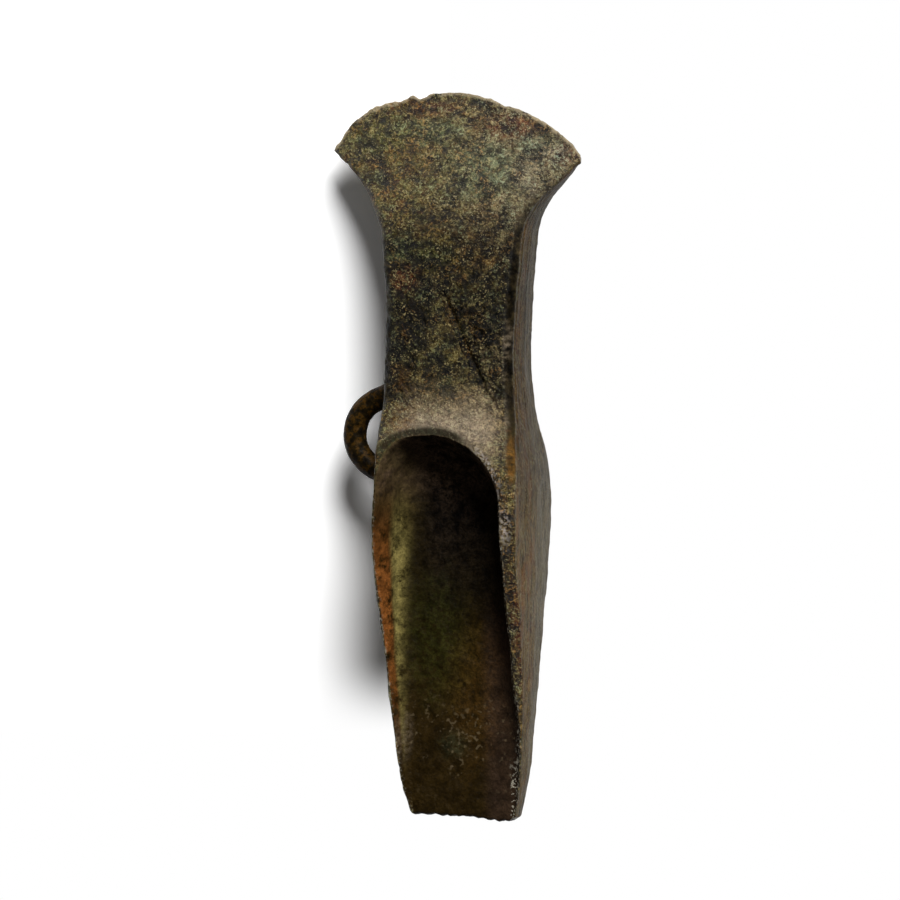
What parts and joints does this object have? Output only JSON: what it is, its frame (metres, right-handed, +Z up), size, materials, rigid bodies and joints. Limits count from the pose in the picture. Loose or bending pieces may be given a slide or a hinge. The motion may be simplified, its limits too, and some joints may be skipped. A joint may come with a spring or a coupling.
{
  "type": "palstave axe head",
  "caption": "Looped bronze palstave axe head with a flared blade, a stop ridge, flanged slots for a split haft and a side loop.",
  "frame": {"origin": "below the middle of the head, level with the crests of the lower flanges at the stop", "axes": "+X across the blade, away from the side loop; +Y along the head from the butt to the cutting edge; +Z up through the thickness"},
  "size_m": [0.0566, 0.16, 0.031],
  "materials": {
    "bronze": "corroded brown and green patina, granular on the faces, worn smooth on the sides"
  },
  "bodies": {
    "root": {"blade": "bronze", "stop_ridge": "bronze", "septum": "bronze", "left_flange": "bronze", "right_flange": "bronze", "side_loop": "bronze"}
  },
  "joints": []
}
